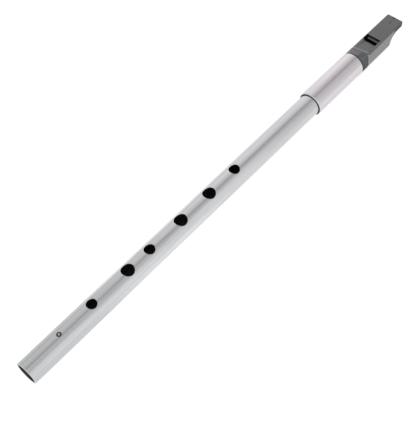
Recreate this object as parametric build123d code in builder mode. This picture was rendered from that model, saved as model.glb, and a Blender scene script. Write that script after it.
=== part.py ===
"""Tin whistle in high D: body tube, tuning sleeve, mouthpiece and fipple plug.

Millimetres. The origin is the centre of the foot opening. +X runs up the bore to the tip of
the beak, and +Z points out of the finger holes and the window.
"""

from build123d import *
import os

# ---------------------------------------------------------------------------
# Driving dimensions
# ---------------------------------------------------------------------------

# Body tube: thin-walled half-inch aluminium tube, open at both ends
TUBE_D = 12.7
TUBE_WALL = 0.9
TUBE_LENGTH = 238.0
TUBE_EDGE_BREAK = 0.15

# Finger holes, drilled through the top wall: distance from the foot, and diameter
FINGER_HOLES = (
    (43.8, 5.9),
    (68.5, 7.2),
    (84.0, 6.0),
    (106.9, 7.3),
    (128.6, 7.2),
    (148.6, 6.1),
)

# Tuning sleeve: a wider tube that the body tube slides and turns in
SLIDE_CLEARANCE = 0.05  # radial, body tube in sleeve
SLEEVE_WALL = 0.9
SLEEVE_EDGE_ROUND = 0.3
TUBE_ENGAGED = 24.5  # length of body tube inside the sleeve at rest
TUNING_GAP = 3.7  # from the body tube's end to the spigot at rest

# Mouthpiece, along its length
SEAT_GAP = 0.15  # between the sleeve's end and the mouthpiece's shoulder
SPIGOT_LENGTH = 12.0  # stem that carries the sleeve
FLATS_DISTANCE = 8.1  # from the shoulder to the side flats
CREASE_DISTANCE = 7.6  # from the shoulder to the top of the labium ramp
RAMP_LENGTH = 8.7
WINDOW_LENGTH = 3.9
BEAK_LENGTH = 21.4  # from the window to the tip

# Mouthpiece, across
SPIGOT_CLEARANCE = 0.05  # radial, spigot in sleeve
SPIGOT_WALL = 1.0  # at the spigot's mouth
COLLAR_STEP = 0.05  # how far the moulding lies below the sleeve's surface
SIDE_FLAT_WIDTH = 11.7  # across the side flats at the collar
TIP_WIDTH = 10.8  # across the side flats at the tip
SIDE_SWEEP_RADIUS = 5.0  # hollow that leads from the collar to each side flat
TOP_FLAT_HEIGHT = 5.45  # from the axis to the flat top of the beak
TOP_SWEEP_RADIUS = 13.6  # hollow that leads from the collar down to the flat top
CHAMBER_D = 9.4  # round bore of the mouthpiece, which also holds the fipple plug
CHAMBER_LEAD = 4.0  # length of the slope that leads the bore's roof down to the blade

# Windway, window and blade
WINDWAY_FLOOR_HEIGHT = 3.3  # from the axis
WINDWAY_HEIGHT = 1.1
WINDWAY_WIDTH = 8.2
WINDOW_SIDE_STEP = 0.1  # how much wider the window is on each side than the windway
BLADE_RISE = 0.4  # blade edge above the windway floor
BLADE_EDGE = 0.15  # thickness left at the blade's edge
PLUG_REACH = 0.6  # how far the plug's lip stands out into the window
LIP_CHAMFER = 0.35  # on the plug's lip
PLUG_FIT = 0.02  # glue line around the plug

# Underside and tip of the beak
SCOOP_RADIUS = 7.0
SCOOP_RUNOUT = 5.1  # from the end of the scoop's curve to the tip
TIP_THICKNESS = 3.2
TIP_CORNER_ROUND = 0.9  # in plan
TIP_EDGE_ROUND = 0.6  # in side view

# ---------------------------------------------------------------------------
# Sizes and places that follow from them
# ---------------------------------------------------------------------------

tube_r = TUBE_D / 2
tube_bore_r = tube_r - TUBE_WALL
sleeve_bore_r = tube_r + SLIDE_CLEARANCE
sleeve_r = sleeve_bore_r + SLEEVE_WALL
head_r = sleeve_r - COLLAR_STEP
spigot_r = sleeve_bore_r - SPIGOT_CLEARANCE
chamber_r = CHAMBER_D / 2

sleeve_x = TUBE_LENGTH - TUBE_ENGAGED
spigot_x = TUBE_LENGTH + TUNING_GAP
shoulder_x = spigot_x + SPIGOT_LENGTH
sleeve_length = shoulder_x - SEAT_GAP - sleeve_x
flats_x = shoulder_x + FLATS_DISTANCE
crease_x = shoulder_x + CREASE_DISTANCE
blade_x = crease_x + RAMP_LENGTH
windway_x = blade_x + WINDOW_LENGTH
lip_x = windway_x - PLUG_REACH
tip_x = windway_x + BEAK_LENGTH
scoop_x = tip_x - SCOOP_RUNOUT

blade_top_z = WINDWAY_FLOOR_HEIGHT + BLADE_RISE
blade_bottom_z = blade_top_z - BLADE_EDGE
windway_roof_z = WINDWAY_FLOOR_HEIGHT + WINDWAY_HEIGHT
window_width = WINDWAY_WIDTH + 2 * WINDOW_SIDE_STEP
tip_bottom_z = TOP_FLAT_HEIGHT - TIP_THICKNESS

past = 1.0  # how far cutting shapes run past the surface they cut

os.makedirs("parts", exist_ok=True)

# ---------------------------------------------------------------------------
# Body tube
# ---------------------------------------------------------------------------

with BuildPart() as body_tube:
    with BuildSketch(Plane.YZ):
        Circle(tube_r)
        Circle(tube_bore_r, mode=Mode.SUBTRACT)
    extrude(amount=TUBE_LENGTH)
    end_faces = body_tube.faces().filter_by(Axis.X)
    chamfer(end_faces.edges(), length=TUBE_EDGE_BREAK)
    with BuildSketch(Plane.XY):
        for distance, diameter in FINGER_HOLES:
            with Locations((distance, 0)):
                Circle(diameter / 2)
    extrude(amount=tube_r + past, mode=Mode.SUBTRACT)

body_tube.part.label = "body_tube"
export_step(body_tube.part, "parts/body_tube.step")

# ---------------------------------------------------------------------------
# Tuning sleeve
# ---------------------------------------------------------------------------

with BuildPart() as tuning_sleeve:
    with BuildSketch(Plane.YZ.offset(sleeve_x)):
        Circle(sleeve_r)
        Circle(sleeve_bore_r, mode=Mode.SUBTRACT)
    extrude(amount=sleeve_length)
    end_faces = tuning_sleeve.faces().filter_by(Axis.X)
    outer_rims = end_faces.edges().group_by(SortBy.RADIUS)[-1]
    fillet(outer_rims, radius=SLEEVE_EDGE_ROUND)

tuning_sleeve.part.label = "tuning_sleeve"
export_step(tuning_sleeve.part, "parts/tuning_sleeve.step")

# ---------------------------------------------------------------------------
# Outlines of the head, shared by the mouthpiece and the fipple plug
# ---------------------------------------------------------------------------

# Side view: the hollow that falls from the collar to the flat top, and the scoop under the beak
with BuildSketch(Plane.XZ) as head_side:
    with Locations((spigot_x - past, 0)):
        Rectangle(tip_x - spigot_x + past, 2 * (head_r + past), align=(Align.MIN, Align.CENTER))
    with Locations((crease_x, TOP_FLAT_HEIGHT + TOP_SWEEP_RADIUS)):
        Circle(TOP_SWEEP_RADIUS, mode=Mode.SUBTRACT)
    with Locations((crease_x, TOP_FLAT_HEIGHT)):
        Rectangle(tip_x - crease_x + past, head_r, align=(Align.MIN, Align.MIN), mode=Mode.SUBTRACT)
    with Locations((scoop_x, tip_bottom_z - SCOOP_RADIUS)):
        Circle(SCOOP_RADIUS, mode=Mode.SUBTRACT)
    with Locations((scoop_x, tip_bottom_z)):
        Rectangle(
            SCOOP_RUNOUT + past,
            tip_bottom_z + head_r + past,
            align=(Align.MIN, Align.MAX),
            mode=Mode.SUBTRACT,
        )
    fillet(head_side.vertices().group_by(Axis.X)[-1], radius=TIP_EDGE_ROUND)

# Plan view: the full-round collar, then hollows that lead to side flats narrowing to the tip
with BuildSketch(Plane.XY) as head_plan:
    with Locations((spigot_x - past, 0)):
        Rectangle(tip_x - spigot_x + past, 2 * (head_r + past), align=(Align.MIN, Align.CENTER))
    for side in (-1, 1):
        flat_y = side * SIDE_FLAT_WIDTH / 2
        with Locations((flats_x, flat_y + side * SIDE_SWEEP_RADIUS)):
            Circle(SIDE_SWEEP_RADIUS, mode=Mode.SUBTRACT)
        with BuildLine():
            Polyline(
                (flats_x, flat_y),
                (tip_x, side * TIP_WIDTH / 2),
                (tip_x, side * (head_r + past)),
                (flats_x, side * (head_r + past)),
                close=True,
            )
        make_face(mode=Mode.SUBTRACT)
    fillet(head_plan.vertices().group_by(Axis.X)[-1], radius=TIP_CORNER_ROUND)

# ---------------------------------------------------------------------------
# The space inside the mouthpiece
# ---------------------------------------------------------------------------

# The bore narrows through the spigot, its roof slopes down to the underside of the blade, and
# beyond the window it is the socket of the fipple plug, with the windway above it
with BuildPart() as inside:
    with BuildSketch(Plane.XZ):
        with BuildLine():
            Polyline(
                (spigot_x - past, 0),
                (spigot_x - past, spigot_r - SPIGOT_WALL),
                (spigot_x, spigot_r - SPIGOT_WALL),
                (crease_x - CHAMBER_LEAD, chamber_r),
                (tip_x + past, chamber_r),
                (tip_x + past, 0),
                close=True,
            )
        make_face()
    revolve(axis=Axis.X)
    with BuildSketch(Plane.XZ):
        with BuildLine():
            Polyline(
                (crease_x - CHAMBER_LEAD, spigot_r),
                (crease_x - CHAMBER_LEAD, chamber_r),
                (crease_x, blade_bottom_z),
                (blade_x, blade_bottom_z),
                (blade_x, spigot_r),
                close=True,
            )
        make_face()
    extrude(amount=head_r, both=True, mode=Mode.SUBTRACT)
    with BuildSketch(Plane.YZ.offset(windway_x - WINDOW_LENGTH / 2)):
        Rectangle(WINDWAY_WIDTH, windway_roof_z, align=(Align.CENTER, Align.MIN))
    extrude(amount=tip_x - windway_x + WINDOW_LENGTH / 2 + past)

# ---------------------------------------------------------------------------
# Mouthpiece
# ---------------------------------------------------------------------------

with BuildPart() as mouthpiece:
    # Spigot and full-round body
    with BuildSketch(Plane.YZ.offset(spigot_x)):
        Circle(spigot_r)
    extrude(amount=SPIGOT_LENGTH)
    with BuildSketch(Plane.YZ.offset(shoulder_x)):
        Circle(head_r)
    extrude(amount=tip_x - shoulder_x)

    # Beak, from its side view and its plan
    extrude(head_side.sketch, amount=head_r + past, both=True, mode=Mode.INTERSECT)
    extrude(head_plan.sketch, amount=head_r + past, both=True, mode=Mode.INTERSECT)

    # Labium ramp and window
    with BuildSketch(Plane.XZ):
        with BuildLine():
            Polyline(
                (crease_x, TOP_FLAT_HEIGHT),
                (blade_x, blade_top_z),
                (blade_x, 0),
                (windway_x, 0),
                (windway_x, head_r + past),
                (crease_x, head_r + past),
                close=True,
            )
        make_face()
    extrude(amount=window_width / 2, both=True, mode=Mode.SUBTRACT)

    # Bore, plug socket and windway
    add(inside.part, mode=Mode.SUBTRACT)

mouthpiece.part.label = "mouthpiece"
export_step(mouthpiece.part, "parts/mouthpiece.step")

# ---------------------------------------------------------------------------
# Fipple plug
# ---------------------------------------------------------------------------

with BuildPart() as fipple_plug:
    with BuildSketch(Plane.YZ.offset(lip_x)):
        Circle(chamber_r - PLUG_FIT)
        Rectangle(
            WINDWAY_WIDTH - 2 * PLUG_FIT, WINDWAY_FLOOR_HEIGHT, align=(Align.CENTER, Align.MIN)
        )
        with Locations((0, WINDWAY_FLOOR_HEIGHT)):
            Rectangle(CHAMBER_D, CHAMBER_D, align=(Align.CENTER, Align.MIN), mode=Mode.SUBTRACT)
    extrude(amount=tip_x - lip_x)
    extrude(head_side.sketch, amount=head_r + past, both=True, mode=Mode.INTERSECT)
    extrude(head_plan.sketch, amount=head_r + past, both=True, mode=Mode.INTERSECT)
    lip = fipple_plug.edges().filter_by(Axis.Y).group_by(Axis.X)[0].sort_by(Axis.Z)[-1]
    chamfer(lip, length=LIP_CHAMFER)

fipple_plug.part.label = "fipple_plug"
export_step(fipple_plug.part, "parts/fipple_plug.step")
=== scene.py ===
"""Tin whistle in high D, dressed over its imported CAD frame.

Metres. The origin is the centre of the foot opening, +X runs up the bore to the tip of the beak,
and +Z points out of the finger holes and the window. The two metal tubes are rebuilt here with
fine rims and drilled holes, and the moulded mouthpiece and its plug are rebuilt with soft edges.
"""

from __future__ import annotations

import logging
import math
from dataclasses import dataclass
from enum import Enum
from typing import Any, Callable

import bmesh
import bpy
from mathutils import Euler, Matrix, Vector

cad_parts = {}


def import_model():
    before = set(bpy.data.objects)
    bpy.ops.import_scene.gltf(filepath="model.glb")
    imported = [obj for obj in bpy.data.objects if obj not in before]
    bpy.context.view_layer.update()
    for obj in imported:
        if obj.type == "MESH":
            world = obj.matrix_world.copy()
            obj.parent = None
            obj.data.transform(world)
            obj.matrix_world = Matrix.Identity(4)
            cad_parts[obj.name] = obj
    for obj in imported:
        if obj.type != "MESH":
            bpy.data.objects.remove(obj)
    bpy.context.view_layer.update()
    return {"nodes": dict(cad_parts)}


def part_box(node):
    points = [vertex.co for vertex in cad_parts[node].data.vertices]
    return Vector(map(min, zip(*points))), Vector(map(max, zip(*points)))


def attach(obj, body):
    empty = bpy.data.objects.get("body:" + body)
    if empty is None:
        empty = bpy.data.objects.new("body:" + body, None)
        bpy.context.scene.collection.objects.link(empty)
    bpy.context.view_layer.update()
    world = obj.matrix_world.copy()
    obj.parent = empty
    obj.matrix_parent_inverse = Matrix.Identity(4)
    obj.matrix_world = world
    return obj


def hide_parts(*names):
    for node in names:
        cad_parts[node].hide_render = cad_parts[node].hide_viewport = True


LOG = logging.getLogger("tin_whistle")

MM = 0.001
WELD = 1e-6
SHARP_TURN = math.radians(32.0)  # edges that turn by more than this stay crisp
Triple = tuple[float, float, float]
Colour = Triple

# Landmarks of the moulding that its shape and its finish share
BLADE_X = 270.0 * MM
TOP_HEIGHT = 5.45 * MM
WINDOW_HALF = 4.2 * MM


class Slot(Enum):
    """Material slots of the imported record."""

    TUBE = "tube_aluminium"
    SLEEVE = "sleeve_aluminium"
    MOUTHPIECE = "mouthpiece_plastic"
    PLUG = "plug_plastic"


class Body(Enum):
    """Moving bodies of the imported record."""

    TUBE = "body"
    SLEEVE = "sleeve"
    HEAD = "head"


# ---------------------------------------------------------------------------
# Shader maths
# ---------------------------------------------------------------------------


class Value:
    """A number that varies over a surface; Python's operators add its Math nodes."""

    def __init__(self, graph: Graph, socket: bpy.types.NodeSocket) -> None:
        """Wraps one output socket of a graph."""
        self.graph = graph
        self.socket = socket

    def __add__(self, other: Value | float) -> Value:
        """self + other."""
        return self.graph.math("ADD", self, other)

    __radd__ = __add__

    def __sub__(self, other: Value | float) -> Value:
        """self - other."""
        return self.graph.math("SUBTRACT", self, other)

    def __rsub__(self, other: Value | float) -> Value:
        """other - self."""
        return self.graph.math("SUBTRACT", other, self)

    def __mul__(self, other: Value | float) -> Value:
        """self * other."""
        return self.graph.math("MULTIPLY", self, other)

    __rmul__ = __mul__

    def maximum(self, other: Value | float) -> Value:
        """The larger of self and other."""
        return self.graph.math("MAXIMUM", self, other)

    def absolute(self) -> Value:
        """self without its sign."""
        return self.graph.math("ABSOLUTE", self)

    def smooth_between(self, low: float, high: float) -> Value:
        """Smoothly 0 at low and 1 at high.

        Args:
            low: the value that gives 0.
            high: the value that gives 1; it may be the smaller of the two.

        Returns:
            The eased share of the way from low to high.
        """
        node = self.graph.node(
            "ShaderNodeMapRange",
            {"interpolation_type": "SMOOTHSTEP"},
            {"Value": self, "From Min": low, "From Max": high},
        )
        return Value(self.graph, node.outputs["Result"])


class Graph:
    """A node tree, and the few ways in which this script adds nodes to it."""

    def __init__(self, tree: bpy.types.NodeTree) -> None:
        """Empties the tree and keeps it.

        Args:
            tree: the node tree of a material or a world.
        """
        self.tree = tree
        tree.nodes.clear()

    def node(
        self,
        kind: str,
        settings: dict[str, Any] | None = None,
        inputs: dict[str | int, Any] | None = None,
    ) -> bpy.types.Node:
        """Adds one node.

        Args:
            kind: the node's type name.
            settings: its properties, set first; "stops" holds a colour ramp's stops.
            inputs: values or links for its sockets, by name or number.

        Returns:
            The new node.
        """
        node = self.tree.nodes.new(kind)
        for key, value in (settings or {}).items():
            if key == "stops":
                self._set_stops(node.color_ramp, value)
            else:
                setattr(node, key, value)
        for key, value in (inputs or {}).items():
            socket = node.inputs[key]
            source = value.socket if isinstance(value, Value) else value
            if isinstance(source, bpy.types.NodeSocket):
                self.tree.links.new(source, socket)
            else:
                socket.default_value = source
        return node

    @staticmethod
    def _set_stops(ramp: bpy.types.ColorRamp, stops: list[tuple[float, Colour]]) -> None:
        """Gives a colour ramp its stops.

        Args:
            ramp: the ramp, which starts with two stops.
            stops: position and colour of each, in order.
        """
        while len(ramp.elements) < len(stops):
            ramp.elements.new(1.0)
        for element, (position, colour) in zip(ramp.elements, stops):
            element.position = position
            element.color = (*colour, 1.0)

    def math(self, operation: str, *terms: Value | float) -> Value:
        """Adds one Math node.

        Args:
            operation: the node's operation.
            terms: what it works on, in the order of its sockets.

        Returns:
            Its result.
        """
        settings = {"operation": operation}
        node = self.node("ShaderNodeMath", settings, dict(enumerate(terms)))
        return Value(self, node.outputs[0])

    def mix_colour(self, share: Value | float, first: Any, second: Any) -> bpy.types.NodeSocket:
        """Blends two colours.

        Args:
            share: 0 gives the first colour, 1 the second.
            first: a colour or a colour socket.
            second: a colour or a colour socket.

        Returns:
            The socket that carries the blended colour.
        """
        ends = [(*c, 1.0) if isinstance(c, tuple) else c for c in (first, second)]
        settings = {"data_type": "RGBA"}
        node = self.node("ShaderNodeMix", settings, {0: share, 6: ends[0], 7: ends[1]})
        return node.outputs[2]

    def place(self) -> tuple[bpy.types.NodeSocket, Value, Value, Value]:
        """Reads the surface point in the whistle's own frame.

        Returns:
            The point's socket, and its x, y and z in metres.
        """
        point = self.node("ShaderNodeTexCoord").outputs["Object"]
        split = self.node("ShaderNodeSeparateXYZ", inputs={0: point})
        x, y, z = (Value(self, out) for out in split.outputs)
        return point, x, y, z

    def noise(
        self, point: bpy.types.NodeSocket, per_metre: Triple, detail: float = 3.0
    ) -> Value:
        """Noise with its own fineness along each axis.

        Args:
            point: where it is read.
            per_metre: cells per metre along x, y and z.
            detail: octaves of finer noise.

        Returns:
            The noise, from 0 to 1 and mostly near 0.5.
        """
        placed = self.node("ShaderNodeMapping", inputs={"Vector": point, "Scale": per_metre})
        inputs = {"Vector": placed.outputs[0], "Scale": 1.0, "Detail": detail}
        return Value(self, self.node("ShaderNodeTexNoise", inputs=inputs).outputs[0])

    def bump(self, height: Value, distance: float, strength: float) -> bpy.types.NodeSocket:
        """A normal tilted by a height.

        Args:
            height: 0 to 1.
            distance: what a height of 1 stands for, in metres.
            strength: share of the effect.

        Returns:
            The socket that carries the normal.
        """
        inputs = {"Height": height, "Distance": distance, "Strength": strength}
        return self.node("ShaderNodeBump", inputs=inputs).outputs[0]


def new_material(name: str, paint: Callable[[Graph], bpy.types.NodeSocket]) -> bpy.types.Material:
    """Makes a material from a function that adds its nodes.

    Args:
        name: the material's name.
        paint: adds the nodes and returns the shader socket.

    Returns:
        The finished material.
    """
    material = bpy.data.materials.new(name)
    material.use_nodes = True
    graph = Graph(material.node_tree)
    graph.node("ShaderNodeOutputMaterial", inputs={"Surface": paint(graph)})
    return material


# ---------------------------------------------------------------------------
# Finishes
# ---------------------------------------------------------------------------


@dataclass(frozen=True)
class DrawnAluminium:
    """Satin tube with the fine lengthwise lines of the drawing die."""

    name: str
    colour: Colour
    line_colour: Colour
    roughness: float = 0.24
    line_roughness: float = 0.10
    line_depth: float = 4e-6
    cloud_roughness: float = 0.06
    broad_share: float = 0.6
    broad_cells: Triple = (14.0, 620.0, 620.0)
    fine_cells: Triple = (35.0, 3400.0, 3400.0)
    cloud_cells: Triple = (60.0, 90.0, 90.0)
    ink: Colour = (0.012, 0.012, 0.013)
    ring_mark_x: float | None = None
    ring_radius: float = 0.97 * MM
    ring_width: float = 0.38 * MM
    dot_radius: float = 0.24 * MM

    def material(self) -> bpy.types.Material:
        """Builds the material."""
        return new_material(self.name, self._paint)

    def _paint(self, graph: Graph) -> bpy.types.NodeSocket:
        """Adds the nodes.

        Args:
            graph: the material's node tree.

        Returns:
            The shader socket.
        """
        point, x, y, z = graph.place()
        broad = graph.noise(point, self.broad_cells)
        fine = graph.noise(point, self.fine_cells, detail=2.0)
        cloud = graph.noise(point, self.cloud_cells)
        lines = broad * self.broad_share + fine * (1.0 - self.broad_share)
        lines = lines.smooth_between(0.36, 0.64)
        colour = graph.mix_colour(lines, self.line_colour, self.colour)
        roughness = (1.0 - lines) * self.line_roughness + cloud * self.cloud_roughness
        roughness = roughness + (self.roughness - self.cloud_roughness / 2)
        metallic: Value | float = 1.0
        if self.ring_mark_x is not None:
            print_mask = self._ring_mark(graph, x, y, z)
            colour = graph.mix_colour(print_mask, colour, self.ink)
            metallic = 1.0 - print_mask
            roughness = roughness + print_mask * 0.2
        inputs = {
            "Base Color": colour,
            "Metallic": metallic,
            "Roughness": roughness,
            "Normal": graph.bump(fine, self.line_depth, 0.5),
        }
        return graph.node("ShaderNodeBsdfPrincipled", inputs=inputs).outputs[0]

    def _ring_mark(self, graph: Graph, x: Value, y: Value, z: Value) -> Value:
        """The small printed ring and dot on top of the tube, 1 where it is inked.

        Args:
            graph: the material's node tree.
            x: distance from the foot.
            y: distance from the middle plane.
            z: height, which keeps the mark off the underside.

        Returns:
            The mask.
        """
        along = x - self.ring_mark_x
        across = graph.math("SQRT", along * along + y * y)
        ring = (across - self.ring_radius).absolute()
        inked = ring.smooth_between(self.ring_width * 1.15, self.ring_width * 0.85)
        dot = across.smooth_between(self.dot_radius * 1.1, self.dot_radius * 0.9)
        return inked.maximum(dot) * z.smooth_between(0.0, 1.0 * MM)


@dataclass(frozen=True)
class BareBore:
    """Dull inner wall of a metal tube, grey from the drawing oil."""

    name: str
    colour: Colour = (0.10, 0.10, 0.10)
    film_shade: float = 0.5
    metallic: float = 0.7
    roughness: float = 0.55
    film_roughness: float = 0.2
    film_depth: float = 1e-5
    film_cells: Triple = (40.0, 500.0, 500.0)

    def material(self) -> bpy.types.Material:
        """Builds the material."""
        return new_material(self.name, self._paint)

    def _paint(self, graph: Graph) -> bpy.types.NodeSocket:
        """Adds the nodes.

        Args:
            graph: the material's node tree.

        Returns:
            The shader socket.
        """
        point = graph.place()[0]
        film = graph.noise(point, self.film_cells)
        dark = tuple(channel * self.film_shade for channel in self.colour)
        inputs = {
            "Base Color": graph.mix_colour(film.smooth_between(0.3, 0.7), dark, self.colour),
            "Metallic": self.metallic,
            "Roughness": film * self.film_roughness + (self.roughness - self.film_roughness / 2),
            "Normal": graph.bump(film, self.film_depth, 0.4),
        }
        return graph.node("ShaderNodeBsdfPrincipled", inputs=inputs).outputs[0]


@dataclass(frozen=True)
class MouldedPlastic:
    """Satin moulded plastic with a fine grain."""

    name: str
    colour: Colour
    cloud: float = 0.08
    roughness: float = 0.27
    rub_roughness: float = 0.12
    grain_roughness: float = 0.06
    grain_depth: float = 4e-6
    ior: float = 1.55
    cloud_cells: Triple = (120.0, 160.0, 160.0)
    grain_cells: Triple = (5200.0, 5200.0, 5200.0)
    rub_cells: Triple = (300.0, 900.0, 900.0)

    def material(self) -> bpy.types.Material:
        """Builds the material."""
        return new_material(self.name, self._paint)

    def _paint(self, graph: Graph) -> bpy.types.NodeSocket:
        """Adds the nodes.

        Args:
            graph: the material's node tree.

        Returns:
            The shader socket.
        """
        point, x, y, z = graph.place()
        cloud = graph.noise(point, self.cloud_cells).smooth_between(0.3, 0.7)
        grain = graph.noise(point, self.grain_cells, detail=2.0)
        rubbed = graph.noise(point, self.rub_cells)
        smoothest = self.roughness - (self.rub_roughness + self.grain_roughness) / 2
        dull = tuple(channel * (1.0 - self.cloud) for channel in self.colour)
        plain = graph.mix_colour(cloud, dull, self.colour)
        colour, painted_shade_share = self._marks_and_painted_light(graph, plain, x, y, z)
        inputs = {
            "Base Color": colour,
            "Roughness": rubbed * self.rub_roughness + grain * self.grain_roughness + smoothest,
            "Normal": graph.bump(grain, self.grain_depth, 0.5),
            "IOR": self.ior,
        }
        satin = graph.node("ShaderNodeBsdfPrincipled", inputs=inputs).outputs[0]
        if painted_shade_share is None:
            return satin
        # Where shade is painted, a copy without sheen is mixed in.
        inputs = {"Base Color": colour, "Roughness": 1.0, "Specular IOR Level": 0.0}
        painted_shade_matt = graph.node("ShaderNodeBsdfPrincipled", inputs=inputs).outputs[0]
        return graph.node("ShaderNodeMixShader", inputs={0: painted_shade_share, 1: satin, 2: painted_shade_matt}).outputs[0]

    def _marks_and_painted_light(
        self, graph: Graph, colour: bpy.types.NodeSocket, x: Value, y: Value, z: Value
    ) -> tuple[bpy.types.NodeSocket, Value | None]:
        """Leaves the plain colour and its sheen as they are.

        Args:
            graph: the material's node tree.
            colour: the plain colour.
            x: distance from the foot.
            y: distance from the middle plane.
            z: height above the bore's axis.

        Returns:
            The socket that carries the colour, and None because no painted shade takes its sheen
            out.
        """
        return colour, None


@dataclass(frozen=True)
class MarkedPlasticWithPaintedLight(MouldedPlastic):
    """Moulded plastic with a dark gate mark by the tip, and painted shade, sheen, light and
    highlights.
    """

    crease_line_x: float = 260.9 * MM
    crease_slant: float = 0.185
    flats_slant: float = 0.165
    tip_x: float = 295.3 * MM
    joint_x: float = 253.7 * MM
    # Painted highlight: a pale slanting line across the top, before the ramp.
    crease_highlight_colour: Colour = (0.30, 0.29, 0.30)
    # Painted highlight: pale lines where the side flats begin.
    ridge_highlight_colour: Colour = (0.48, 0.465, 0.48)
    # Painted sheen: the side flats are lighter.
    flats_sheen_colour: Colour = (0.240, 0.231, 0.242)
    # Painted light: the ramp's side walls are lighter.
    recess_light_colour: Colour = (0.30, 0.30, 0.30)
    # Painted shade: the collar's -Y side and the beak's sides by the tip.
    shade_colour: Colour = (0.150, 0.154, 0.153)
    # Dark gate mark and notch by the tip, and a painted shadow by the shoulder.
    mark_and_joint_shadow_colour: Colour = (0.02, 0.02, 0.02)

    def _marks_and_painted_light(
        self, graph: Graph, colour: bpy.types.NodeSocket, x: Value, y: Value, z: Value
    ) -> tuple[bpy.types.NodeSocket, Value | None]:
        """Adds painted shade, sheen, light and highlights, a painted dark line by the shoulder,
        and the gate mark.

        Args:
            graph: the material's node tree.
            colour: the plain colour.
            x: distance from the foot.
            y: distance from the middle plane.
            z: height above the bore's axis.

        Returns:
            The socket that carries the colour, and the share where painted shade takes the sheen
            out.
        """
        aside = y.absolute()
        on_top = z.smooth_between(TOP_HEIGHT - 1.0 * MM, TOP_HEIGHT - 0.3 * MM)
        past_flats = x + z * self.flats_slant - (self.crease_line_x + 0.5 * MM)
        on_side = aside.smooth_between(5.2 * MM, 5.5 * MM)

        # Painted shade: the collar's -Y side and the beak's sides by the tip are darker and lose
        # their sheen.
        shade = past_flats.smooth_between(0.0, -0.3 * MM) * y.smooth_between(-0.8 * MM, -2.4 * MM)
        beak = x.smooth_between(self.tip_x - 10.0 * MM, self.tip_x - 7.0 * MM)
        shade = shade.maximum(beak * aside.smooth_between(4.9 * MM, 5.2 * MM))
        # Painted sheen: the side flats are lighter, from where they begin to near the tip.
        flat = on_side * z.absolute().smooth_between(4.7 * MM, 4.2 * MM)
        flat = flat * past_flats.smooth_between(-0.2 * MM, 0.1 * MM) * (1.0 - beak)
        # Painted light: the ramp's side walls, beside the window, are lighter.
        recess_light = aside.smooth_between(WINDOW_HALF - 0.04 * MM, WINDOW_HALF)
        recess_light = recess_light * (aside - WINDOW_HALF).smooth_between(0.72 * MM, 0.70 * MM)
        recess_light = recess_light * (z - TOP_HEIGHT).smooth_between(-0.02 * MM, -0.08 * MM)
        recess_light = recess_light * x.smooth_between(BLADE_X + 0.1 * MM, BLADE_X)
        recess_light = recess_light * z.smooth_between(0.0, 1.0 * MM)
        # Painted highlight: a pale slanting line across the top, before the ramp.
        crease_highlight = (x + y * self.crease_slant - self.crease_line_x).absolute()
        crease_highlight = crease_highlight.smooth_between(0.75 * MM, 0.1 * MM)
        crease_highlight = crease_highlight * on_top * aside.smooth_between(5.4 * MM, 3.9 * MM)
        # Painted highlight: pale lines where the side flats begin.
        ridge_highlight = past_flats.absolute().smooth_between(0.55 * MM, 0.15 * MM) * on_side

        # Painted shadow: a dark line where the mouthpiece's shoulder meets the sleeve.
        joint_shadow = x.smooth_between(self.joint_x + 0.45 * MM, self.joint_x + 0.25 * MM)
        back = (x - (self.tip_x - 5.4 * MM)).absolute().smooth_between(2.1 * MM, 1.0 * MM)
        mark = back * y.absolute().smooth_between(0.55 * MM, 0.2 * MM) * 0.6
        notch = x.smooth_between(self.tip_x - 2.0 * MM, self.tip_x - 1.4 * MM)
        notch = notch * (y - 0.35 * MM).absolute().smooth_between(0.9 * MM, 0.45 * MM)

        layers = (
            (shade, self.shade_colour),
            (flat, self.flats_sheen_colour),
            (recess_light, self.recess_light_colour),
            (crease_highlight, self.crease_highlight_colour),
            (ridge_highlight, self.ridge_highlight_colour),
            (joint_shadow.maximum(mark.maximum(notch) * on_top), self.mark_and_joint_shadow_colour),
        )
        for share, tint in layers:
            colour = graph.mix_colour(share, colour, tint)
        # The painted shade also takes the sheen out, but not on the painted highlights by the
        # side flats.
        return colour, shade * (1.0 - ridge_highlight)


# ---------------------------------------------------------------------------
# Pieces
# ---------------------------------------------------------------------------


def finish_piece(
    shape: bmesh.types.BMesh,
    name: str,
    body: Body,
    replaces: str,
    materials: list[bpy.types.Material],
) -> bpy.types.Object:
    """Turns a finished shape into a piece that rides on its body.

    Args:
        shape: the shape, in the whistle's frame; it is freed.
        name: the piece's name.
        body: the moving body that carries it.
        replaces: the CAD node that it stands for.
        materials: its materials, in the order of the faces' numbers.

    Returns:
        The new object.
    """
    bmesh.ops.remove_doubles(shape, verts=shape.verts[:], dist=WELD)
    bmesh.ops.recalc_face_normals(shape, faces=shape.faces[:])
    for face in shape.faces:
        face.smooth = True
    mesh = bpy.data.meshes.new(name)
    shape.to_mesh(mesh)
    shape.free()
    mesh.set_sharp_from_angle(angle=SHARP_TURN)
    for material in materials:
        mesh.materials.append(material)
    piece = bpy.data.objects.new(name, mesh)
    bpy.context.scene.collection.objects.link(piece)
    weights = piece.modifiers.new("even_shading", "WEIGHTED_NORMAL")
    weights.keep_sharp = True
    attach(piece, body.value)
    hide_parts(replaces)
    LOG.info("%s: %d faces, rides on %s", name, len(mesh.polygons), body.value)
    return piece


def lie_at_x(edge: bmesh.types.BMEdge, x: float) -> bool:
    """True where both ends of an edge lie in the plane across the bore at x."""
    return all(abs(v.co.x - x) < WELD for v in edge.verts)


def bevel_edges(
    shape: bmesh.types.BMesh, edges: list[bmesh.types.BMEdge], width: float, segments: int
) -> None:
    """Rounds edges.

    Args:
        shape: the shape that they belong to.
        edges: the edges.
        width: how far the rounding reaches on each side.
        segments: faces across it.
    """
    bmesh.ops.bevel(
        shape,
        geom=edges,
        offset=width,
        offset_type="OFFSET",
        segments=segments,
        profile=0.5,
        affect="EDGES",
        clamp_overlap=True,
        material=-1,
    )


@dataclass(frozen=True)
class FingerHole:
    """One hole drilled through the top wall."""

    x: float
    radius: float


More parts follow.
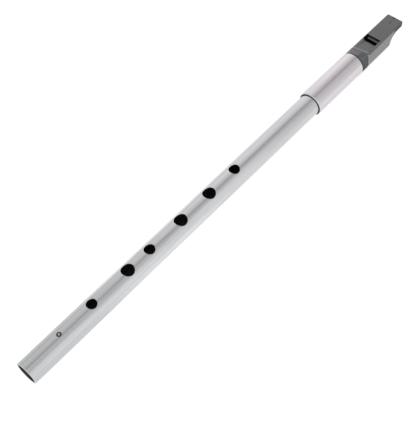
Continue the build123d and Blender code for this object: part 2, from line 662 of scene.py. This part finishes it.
@dataclass
class BodyTube:
    """The long tube: a drawn tube with six finger holes drilled through its top wall."""

    outer_radius: float = 6.35 * MM
    bore_radius: float = 5.45 * MM
    length: float = 238.0 * MM
    edge_break: float = 0.25 * MM
    hole_break: float = 0.06 * MM
    holes: tuple[FingerHole, ...] = (
        FingerHole(43.8 * MM, 2.86 * MM),
        FingerHole(68.5 * MM, 3.6 * MM),
        FingerHole(84.0 * MM, 3.0 * MM),
        FingerHole(106.9 * MM, 3.65 * MM),
        FingerHole(128.6 * MM, 3.6 * MM),
        FingerHole(148.6 * MM, 3.05 * MM),
    )
    patch_reach: float = 5.0 * MM
    patch_angle: float = math.radians(52.0)
    end_band: float = 1.0 * MM
    patch_cuts: int = 4
    edge_segments: int = 3
    hole_steps: int = 96
    round_steps: int = 92
    key_mark_x: float = 22.5 * MM

    def build(self) -> bpy.types.Object:
        """Builds and dresses the tube.

        Returns:
            The tube's object.
        """
        shape = bmesh.new()
        self._add_wall(shape, self.outer_radius)
        bore_start = len(shape.faces)
        self._add_wall(shape, self.bore_radius)
        for face in list(shape.faces)[bore_start:]:
            face.material_index = 1
        self._join_walls(shape)
        outer = DrawnAluminium(
            "drawn_tube",
            colour=(0.74, 0.745, 0.75),
            line_colour=(0.66, 0.665, 0.67),
            ring_mark_x=self.key_mark_x,
        )
        materials = [outer.material(), BareBore("tube_bore").material()]
        return finish_piece(
            shape, "whistle_tube", Body.TUBE, "body_tube", materials
        )

    def _add_wall(self, shape: bmesh.types.BMesh, radius: float) -> None:
        """Adds one wall, first as an unrolled strip with its holes, then rolled up.

        Args:
            shape: the shape that it is added to.
            radius: the wall's radius.
        """
        strip = bmesh.new()
        for hole in self.holes:
            self._add_hole_patch(strip, hole, radius)
        self._fill_between(strip)
        bmesh.ops.remove_doubles(strip, verts=strip.verts[:], dist=WELD)
        for vert in strip.verts:
            angle = vert.co.y / radius
            vert.co = (vert.co.x, radius * math.sin(angle), radius * math.cos(angle))
        self._close_round(strip, radius)
        mesh = bpy.data.meshes.new("wall")
        strip.to_mesh(mesh)
        strip.free()
        shape.from_mesh(mesh)
        bpy.data.meshes.remove(mesh)

    def _add_hole_patch(
        self, strip: bmesh.types.BMesh, hole: FingerHole, radius: float
    ) -> None:
        """Adds a rectangle of unrolled wall with one drilled hole in it.

        Args:
            strip: the unrolled strip; its y is the length along the wall's arc.
            hole: the hole.
            radius: the wall's radius, which sets how the straight drill cuts it.
        """
        centre = Vector((hole.x, 0.0, 0.0))
        ring = bmesh.ops.create_circle(
            strip,
            segments=self.hole_steps,
            radius=hole.radius,
            matrix=Matrix.Translation(centre),
        )["verts"]
        rim = list({edge for vert in ring for edge in vert.link_edges})
        grown = bmesh.ops.extrude_edge_only(strip, edges=rim)["geom"]
        half_arc = self.patch_angle * radius
        for vert in (g for g in grown if isinstance(g, bmesh.types.BMVert)):
            out = vert.co - centre
            reach = max(abs(out.x), abs(out.y))
            vert.co = centre + Vector(
                (out.x / reach * self.patch_reach, out.y / reach * half_arc, 0.0)
            )
        for vert in ring:
            vert.co.y = radius * math.asin(vert.co.y / radius)
        inside = set(ring)
        spokes = [
            edge
            for vert in ring
            for edge in vert.link_edges
            if edge.other_vert(vert) not in inside
        ]
        bmesh.ops.subdivide_edges(strip, edges=spokes, cuts=self.patch_cuts, use_grid_fill=True)

    def _fill_between(self, strip: bmesh.types.BMesh) -> None:
        """Joins the hole patches along the tube and carries the strip to both ends.

        Args:
            strip: the unrolled strip.
        """
        reach, band = self.patch_reach, self.end_band
        runs = [
            (a.x + reach, [b.x - reach]) for a, b in zip(self.holes[:-1], self.holes[1:])
        ]
        runs.append((self.holes[0].x - reach, [band, 0.0]))
        runs.append((self.holes[-1].x + reach, [self.length - band, self.length]))
        for start, stops in runs:
            at = start
            for stop in stops:
                edges = [e for e in strip.edges if lie_at_x(e, at)]
                grown = bmesh.ops.extrude_edge_only(strip, edges=edges)["geom"]
                moved = [g for g in grown if isinstance(g, bmesh.types.BMVert)]
                bmesh.ops.translate(strip, verts=moved, vec=(stop - at, 0.0, 0.0))
                at = stop

    def _close_round(self, strip: bmesh.types.BMesh, radius: float) -> None:
        """Spins the long side of the rolled strip round to its other side.

        Args:
            strip: the rolled strip.
            radius: the wall's radius.
        """
        side = radius * math.sin(self.patch_angle)
        edges = [
            e for e in strip.edges if all(abs(v.co.y - side) < WELD for v in e.verts)
        ]
        verts = list({v for e in edges for v in e.verts})
        bmesh.ops.spin(
            strip,
            geom=verts + edges,
            cent=(0.0, 0.0, 0.0),
            axis=(1.0, 0.0, 0.0),
            angle=-(2.0 * math.pi - 2.0 * self.patch_angle),
            steps=self.round_steps,
        )
        bmesh.ops.remove_doubles(strip, verts=strip.verts[:], dist=WELD)

    def _join_walls(self, shape: bmesh.types.BMesh) -> None:
        """Joins the outer wall to the bore at both ends and through every hole.

        Args:
            shape: both walls.
        """
        split = (self.outer_radius + self.bore_radius) / 2
        inwards = self.bore_radius / self.outer_radius
        for x in (0.0, self.length):
            rims = [e for e in shape.edges if e.is_boundary and lie_at_x(e, x)]
            outer_rim = [e for e in rims if e.verts[0].co.yz.length > split]
            bore_rim = {v for e in rims for v in e.verts if v.co.yz.length < split}
            grown = bmesh.ops.extrude_edge_only(shape, edges=outer_rim)["geom"]
            moved = [g for g in grown if isinstance(g, bmesh.types.BMVert)]
            bmesh.ops.scale(shape, verts=moved, vec=(1.0, inwards, inwards))
            bmesh.ops.remove_doubles(shape, verts=moved + list(bore_rim), dist=WELD)
        ends = [
            e
            for e in shape.edges
            if len({v.co.yz.length > split for v in e.verts}) == 1
            and (lie_at_x(e, 0.0) or lie_at_x(e, self.length))
        ]
        open_edges = [e for e in shape.edges if e.is_boundary]
        hole_rims: list[bmesh.types.BMEdge] = []
        for hole in self.holes:
            rims = [
                e
                for e in open_edges
                if all(abs(v.co.x - hole.x) < hole.radius + WELD for v in e.verts)
            ]
            hole_rims += [e for e in rims if e.verts[0].co.yz.length > split]
            made = bmesh.ops.bridge_loops(shape, edges=rims)
            for face in made["faces"]:
                face.material_index = 0
        bmesh.ops.recalc_face_normals(shape, faces=shape.faces[:])
        bevel_edges(shape, ends, self.edge_break, self.edge_segments)
        bevel_edges(shape, hole_rims, self.hole_break, self.edge_segments)


@dataclass
class TuningSleeve:
    """The wider tube that the long tube slides and turns in."""

    outer_radius: float = 7.3 * MM
    bore_radius: float = 6.4 * MM
    edge_round: float = 0.3 * MM
    bore_break: float = 0.08 * MM
    outer_segments: int = 5
    bore_segments: int = 2
    band: float = 1.2 * MM
    round_steps: int = 144

    def build(self) -> bpy.types.Object:
        """Builds and dresses the sleeve.

        Returns:
            The sleeve's object.
        """
        low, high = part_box("tuning_sleeve")
        stations = (low.x, low.x + self.band, high.x - self.band, high.x)
        shape = bmesh.new()
        corners = [
            shape.verts.new((x, 0.0, radius))
            for radius, row in (
                (self.outer_radius, stations),
                (self.bore_radius, stations[::-1]),
            )
            for x in row
        ]
        outline = [
            shape.edges.new((a, b)) for a, b in zip(corners, corners[1:] + corners[:1])
        ]
        bmesh.ops.spin(
            shape,
            geom=corners + outline,
            cent=(0.0, 0.0, 0.0),
            axis=(1.0, 0.0, 0.0),
            angle=2.0 * math.pi,
            steps=self.round_steps,
            use_merge=True,
        )
        bmesh.ops.remove_doubles(shape, verts=shape.verts[:], dist=WELD)
        wall_middle = (self.outer_radius + self.bore_radius) / 2
        rims = [e for e in shape.edges if lie_at_x(e, low.x) or lie_at_x(e, high.x)]
        around = [e for e in rims if self._runs_around(e)]
        outer = [e for e in around if e.verts[0].co.yz.length > wall_middle]
        inner = [e for e in around if e.verts[0].co.yz.length < wall_middle]
        bevel_edges(shape, outer, self.edge_round, self.outer_segments)
        bevel_edges(shape, inner, self.bore_break, self.bore_segments)
        # The bore gets the dark bore finish. The foot end face gets it too, as a painted shadow
        # in the gap to the tube.
        for face in shape.faces:
            middle = face.calc_center_median()
            reach = middle.yz.length
            inside_rounding = reach < self.outer_radius - self.edge_round
            foot_end_painted_shadow = middle.x < low.x + WELD and inside_rounding
            face.material_index = int(foot_end_painted_shadow or reach < wall_middle - self.edge_round)
        outer_finish = DrawnAluminium(
            "drawn_sleeve", colour=(0.80, 0.78, 0.795), line_colour=(0.72, 0.70, 0.715)
        )
        # Near-black: this is also the painted shadow on the sleeve's foot end face.
        bore_and_end_shadow = BareBore("sleeve_bore_and_end_shadow", colour=(0.04, 0.04, 0.04))
        materials = [outer_finish.material(), bore_and_end_shadow.material()]
        return finish_piece(
            shape, "whistle_sleeve", Body.SLEEVE, "tuning_sleeve", materials
        )

    @staticmethod
    def _runs_around(edge: bmesh.types.BMEdge) -> bool:
        """True where an edge runs around the bore and not across the wall."""
        first, second = (v.co.yz.length for v in edge.verts)
        return abs(first - second) < WELD


@dataclass
class Head:
    """The moulded mouthpiece and the plug that is glued into its beak."""

    nodes: dict[str, bpy.types.Object]
    windway_x: float = 273.9 * MM
    crease_x: float = 261.3 * MM
    scoop_start_x: float = 283.0 * MM
    inner_radius: float = 4.72 * MM
    lip_depth: float = 0.4 * MM
    long_edge_round: float = 0.35 * MM
    lower_edge_round: float = 1.2 * MM
    lower_turn: float = 60.0
    upper_turn: float = 25.0
    upper_reach: float = 3.5 * MM
    tip_band: float = 1.0 * MM
    flat_turn: float = math.radians(0.5)
    window_flares: tuple[float, float] = (0.2 * MM, 0.68 * MM)
    corner_weld: float = 0.012 * MM

    def build(self) -> None:
        """Builds and dresses both mouldings."""
        shell = MarkedPlasticWithPaintedLight("mouthpiece_moulding", colour=(0.143, 0.144, 0.145))
        # Painted shade: a near-black copy of the plastic for the window, the chamber, the windway
        # and the plug's end wall.
        painted_shade_inside = MouldedPlastic("mouthpiece_inside_painted_shade", colour=(0.006,) * 3, roughness=0.6, ior=1.15)
        plug = MouldedPlastic("plug_moulding", colour=(0.15, 0.15, 0.15))
        self._build_mouthpiece([shell.material(), painted_shade_inside.material()])
        self._build_plug([plug.material(), painted_shade_inside.material()])

    def _open_copy(self, node: str) -> bmesh.types.BMesh:
        """Copies a CAD node's mesh, merged, with whole flat faces.

        Args:
            node: the CAD node's name.

        Returns:
            The copy.
        """
        shape = bmesh.new()
        shape.from_mesh(self.nodes[node].data)
        bmesh.ops.remove_doubles(shape, verts=shape.verts[:], dist=WELD)
        bmesh.ops.dissolve_limit(
            shape,
            angle_limit=self.flat_turn,
            verts=shape.verts[:],
            edges=shape.edges[:],
            delimit={"NORMAL"},
        )
        return shape

    def _build_mouthpiece(self, materials: list[bpy.types.Material]) -> None:
        """Rounds the moulding's edges, and paints shade on its inside.

        Args:
            materials: for the outside, and a painted shade for the window, the chamber and the
                windway.
        """
        shape = self._open_copy("mouthpiece")
        _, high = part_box("mouthpiece")
        tip_start = high.x - self.tip_band
        for x in (BLADE_X, self.windway_x):
            bmesh.ops.bisect_plane(
                shape,
                geom=shape.verts[:] + shape.edges[:] + shape.faces[:],
                plane_co=(x, 0.0, 0.0),
                plane_no=(1.0, 0.0, 0.0),
                dist=WELD,
            )
        for face in shape.faces:
            # Faces inside get the painted shade.
            face.material_index = int(self._is_inside(face))

        def edges_where(test: Callable[[Vector, float], bool]) -> list[bmesh.types.BMEdge]:
            """Picks edges between two outer faces.

            Args:
                test: is given an edge's middle and how far it turns, in degrees.

            Returns:
                The edges that pass.
            """
            return [
                e
                for e in shape.edges
                if e.is_manifold
                and not any(f.material_index for f in e.link_faces)
                and test((e.verts[0].co + e.verts[1].co) / 2, math.degrees(e.calc_face_angle()))
            ]

        lower = edges_where(
            lambda m, turn: self.scoop_start_x < m.x < tip_start
            and abs(m.y) > self.inner_radius
            and m.z < TOP_HEIGHT / 2
            and turn > self.lower_turn
        )
        bevel_edges(shape, lower, self.lower_edge_round, 4)
        upper = edges_where(
            lambda m, turn: self.crease_x < m.x < tip_start
            and abs(m.y) > self.inner_radius
            and abs(m.z) > self.upper_reach
            and self.upper_turn < turn < self.lower_turn
        )
        bevel_edges(shape, upper, self.long_edge_round, 3)
        bmesh.ops.remove_doubles(shape, verts=shape.verts[:], dist=self.corner_weld)
        for side, flare in zip((-1, 1), self.window_flares):
            for vert in shape.verts:
                if self._on_window_rim(vert.co, side * WINDOW_HALF):
                    vert.co.y += side * flare
        finish_piece(
            shape, "whistle_mouthpiece", Body.HEAD, "mouthpiece", materials
        )

    def _on_window_rim(self, place: Vector, y: float) -> bool:
        """Finds the corners at the top of one of the window's side walls.

        Args:
            place: a corner of the moulding.
            y: where that side wall stands.

        Returns:
            True where the corner is one of them.
        """
        return (
            abs(place.y - y) < WELD
            and abs(place.z - TOP_HEIGHT) < WELD
            and BLADE_X - WELD < place.x < self.windway_x + WELD
        )

    def _is_inside(self, face: bmesh.types.BMFace) -> bool:
        """Tells the window's walls, the chamber and the windway from the outside.

        Args:
            face: a face of the moulding.

        Returns:
            True where the face belongs to the inside.
        """
        middle = face.calc_center_median()
        in_window = BLADE_X < middle.x < self.windway_x + WELD
        if in_window and middle.z > 0.0 and abs(middle.y) < WINDOW_HALF + WELD:
            return True
        on_ramp = face.normal.z > 0.9 and self.crease_x < middle.x < BLADE_X
        return not on_ramp and middle.yz.length < self.inner_radius

    def _build_plug(self, materials: list[bpy.types.Material]) -> None:
        """Dresses the plug: its lip catches light, and its end wall in the chamber gets painted
        shade.

        Args:
            materials: for the plug, and a painted shade for its end wall.
        """
        shape = self._open_copy("fipple_plug")
        low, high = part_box("fipple_plug")
        lip_bottom = high.z - self.lip_depth
        for face in shape.faces:
            middle = face.calc_center_median()
            # The end wall below the lip gets the painted shade.
            face.material_index = int(middle.x < low.x + WELD and middle.z < lip_bottom)
        finish_piece(shape, "whistle_plug", Body.HEAD, "fipple_plug", materials)


# ---------------------------------------------------------------------------
# Studio
# ---------------------------------------------------------------------------


WHITE: Colour = (1.0, 1.0, 1.0)
COOL: Colour = (0.972, 1.0, 1.012)
LILAC: Colour = (1.02, 0.98, 1.02)

# Glow of the floor: as the camera sees it, and as the metal mirrors it
FLOOR_SEEN: Colour = (0.87, 0.87, 0.87)
FLOOR_AT_FOOT: Colour = (0.60, 0.62, 0.615)
FLOOR_AT_HOLES: Colour = (0.83, 0.83, 0.83)
FLOOR_AT_BEAK: Colour = (0.72, 0.715, 0.72)

# Where along the tube the floor's mirrored glow changes, in metres from the foot
HOLES_GLOW_SPAN = (0.04, 0.08)
BEAK_GLOW_SPAN = (0.10, 0.17)

# Where the world's light changes, by the share of its direction that runs along +X
MIDDLE_LIGHT_SPAN = (0.17, 0.33)
BEAK_LIGHT_SPAN = (0.33, 0.5)
WHITE_SPAN = (-0.15, -0.4)

# Angle from overhead towards +Y, brightness and tint: what the foot end of the tube, its middle
# and its beak end mirror
FOOT_LIGHT: list[tuple[float, float, Colour]] = [
    (-140.0, 0.80, COOL),
    (-110.0, 0.83, COOL),
    (-90.0, 0.93, COOL),
    (-55.0, 0.81, COOL),
    (-30.0, 0.47, COOL),
    (-20.0, 0.50, COOL),
    (-12.0, 0.86, COOL),
    (-1.0, 0.27, COOL),
    (8.0, 0.36, COOL),
    (16.0, 0.58, WHITE),
    (50.0, 0.63, WHITE),
    (90.0, 0.53, WHITE),
    (140.0, 0.70, WHITE),
]
MIDDLE_LIGHT: list[tuple[float, float, Colour]] = [
    (-140.0, 0.93, COOL),
    (-110.0, 0.92, COOL),
    (-80.0, 1.13, COOL),
    (-60.0, 1.16, COOL),
    (-45.0, 1.03, COOL),
    (-30.0, 0.86, COOL),
    (-15.0, 0.68, WHITE),
    (0.0, 0.34, WHITE),
    (16.0, 0.65, WHITE),
    (50.0, 0.90, WHITE),
    (75.0, 0.78, WHITE),
    (90.0, 0.66, WHITE),
]
BEAK_LIGHT: list[tuple[float, float, Colour]] = [
    (-140.0, 0.87, LILAC),
    (-90.0, 0.72, LILAC),
    (-50.0, 0.65, LILAC),
    (-30.0, 0.61, LILAC),
    (-15.0, 0.47, LILAC),
    (-6.0, 0.35, LILAC),
    (2.0, 0.38, LILAC),
    (15.0, 0.77, LILAC),
    (60.0, 0.97, LILAC),
    (90.0, 0.93, LILAC),
]


@dataclass
class Studio:
    """White floor, soft light from both sides with a gap overhead, and the camera."""

    camera_place: Vector = Vector((-54.892 * MM, -189.463 * MM, 369.894 * MM))
    camera_degrees: Vector = Vector((34.26977, 3.02806, -48.38160))
    lens_mm: float = 72.183
    sensor_mm: float = 36.0
    floor_height: float = -7.3 * MM
    floor_gap: float = 0.02 * MM
    floor_centre_x: float = 0.15
    floor_half: float = 2.0

    def build(self) -> None:
        """Builds the floor, the world and the camera."""
        self._add_floor()
        self._add_world()
        self._add_camera()
        bpy.context.scene.view_settings.view_transform = "Standard"

    def _add_camera(self) -> None:
        """Adds the camera and makes it the scene's own."""
        data = bpy.data.cameras.new("camera")
        data.sensor_width = self.sensor_mm
        data.lens = self.lens_mm
        data.clip_start = 0.01
        camera = bpy.data.objects.new("camera", data)
        turn = Euler([math.radians(a) for a in self.camera_degrees], "XYZ")
        camera.matrix_world = Matrix.Translation(self.camera_place) @ turn.to_matrix().to_4x4()
        bpy.context.scene.collection.objects.link(camera)
        bpy.context.scene.camera = camera

    def _add_floor(self) -> None:
        """Adds the floor just under the whistle."""
        shape = bmesh.new()
        height = self.floor_height - self.floor_gap
        place = Matrix.Translation((self.floor_centre_x, 0.0, height))
        bmesh.ops.create_grid(
            shape, x_segments=2, y_segments=2, size=self.floor_half, matrix=place
        )
        mesh = bpy.data.meshes.new("floor")
        shape.to_mesh(mesh)
        shape.free()
        mesh.materials.append(new_material("white_floor", self._paint_floor))
        floor = bpy.data.objects.new("floor", mesh)
        bpy.context.scene.collection.objects.link(floor)

    @staticmethod
    def _seen_directly(graph: Graph) -> Value:
        """Tells what is looked at from what only bounces light.

        Args:
            graph: the material's node tree.

        Returns:
            1 for what the camera sees itself, in a mirror or through glass.
        """
        path = graph.node("ShaderNodeLightPath")
        camera, glossy, through = (
            Value(graph, path.outputs[name])
            for name in ("Is Camera Ray", "Is Glossy Ray", "Is Transmission Ray")
        )
        return camera.maximum(glossy).maximum(through)

    def _paint_floor(self, graph: Graph) -> bpy.types.NodeSocket:
        """Adds the floor's nodes: white when seen, with the whistle's soft shadow left in.

        Args:
            graph: the material's node tree.

        Returns:
            The shader socket.
        """
        plain = graph.node("ShaderNodeBsdfDiffuse", inputs={"Color": (0.8, 0.8, 0.8, 1.0)})
        shaded = graph.node("ShaderNodeBsdfDiffuse", inputs={"Color": (0.3, 0.3, 0.3, 1.0)})
        x = graph.place()[1]
        to_holes = x.smooth_between(*HOLES_GLOW_SPAN)
        to_beak = x.smooth_between(*BEAK_GLOW_SPAN)
        mirrored = graph.mix_colour(to_holes, FLOOR_AT_FOOT, FLOOR_AT_HOLES)
        mirrored = graph.mix_colour(to_beak, mirrored, FLOOR_AT_BEAK)
        camera = Value(graph, graph.node("ShaderNodeLightPath").outputs["Is Camera Ray"])
        glow = graph.mix_colour(camera, mirrored, FLOOR_SEEN)
        white = graph.node("ShaderNodeEmission", inputs={"Color": glow, "Strength": 1.0})
        terms = {0: shaded.outputs[0], 1: white.outputs[0]}
        seen = graph.node("ShaderNodeAddShader", inputs=terms)
        inputs = {0: self._seen_directly(graph), 1: plain.outputs[0], 2: seen.outputs[0]}
        return graph.node("ShaderNodeMixShader", inputs=inputs).outputs[0]

    def _add_world(self) -> None:
        """Adds the world: white behind the whistle, and the studio's light around it."""
        world = bpy.data.worlds.new("studio")
        world.use_nodes = True
        bpy.context.scene.world = world
        graph = Graph(world.node_tree)
        direction = graph.node("ShaderNodeTexCoord").outputs["Generated"]
        split = graph.node("ShaderNodeSeparateXYZ", inputs={0: direction})
        x, y, z = (Value(graph, out) for out in split.outputs)
        roll = graph.math("ARCTAN2", y, z) * (0.5 / math.pi) + 0.5
        foot_side, middle, beak_side = (
            self._light_ramp(graph, roll, stops)
            for stops in (FOOT_LIGHT, MIDDLE_LIGHT, BEAK_LIGHT)
        )
        light = graph.mix_colour(x.smooth_between(*MIDDLE_LIGHT_SPAN), foot_side, middle)
        light = graph.mix_colour(x.smooth_between(*BEAK_LIGHT_SPAN), light, beak_side)
        light = graph.mix_colour(x.smooth_between(*WHITE_SPAN), light, WHITE)
        lit = graph.node("ShaderNodeBackground", inputs={"Color": light, "Strength": 1.0})
        white = graph.node(
            "ShaderNodeBackground", inputs={"Color": (1.0, 1.0, 1.0, 1.0), "Strength": 1.0}
        )
        seen = graph.node("ShaderNodeLightPath").outputs["Is Camera Ray"]
        both = graph.node(
            "ShaderNodeMixShader", inputs={0: seen, 1: lit.outputs[0], 2: white.outputs[0]}
        )
        graph.node("ShaderNodeOutputWorld", inputs={"Surface": both.outputs[0]})

    @staticmethod
    def _light_ramp(
        graph: Graph, roll: Value, stops: list[tuple[float, float, Colour]]
    ) -> bpy.types.NodeSocket:
        """Light by the angle around the whistle.

        Args:
            graph: the world's node tree.
            roll: 0.5 straight overhead, 0 and 1 straight down.
            stops: angle in degrees from overhead towards +Y, brightness and tint.

        Returns:
            The socket that carries the light's colour.
        """
        ramp = [
            (angle / 360.0 + 0.5, (level * tint[0], level * tint[1], level * tint[2]))
            for angle, level, tint in stops
        ]
        node = graph.node("ShaderNodeValToRGB", {"stops": ramp}, {0: roll})
        return node.outputs[0]


def main() -> None:
    """Builds the whistle and its studio."""
    logging.basicConfig(level=logging.INFO, format="%(name)s %(message)s")
    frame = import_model()
    Studio().build()
    BodyTube().build()
    TuningSleeve().build()
    Head(frame["nodes"]).build()


if __name__ == "__main__":
    main()
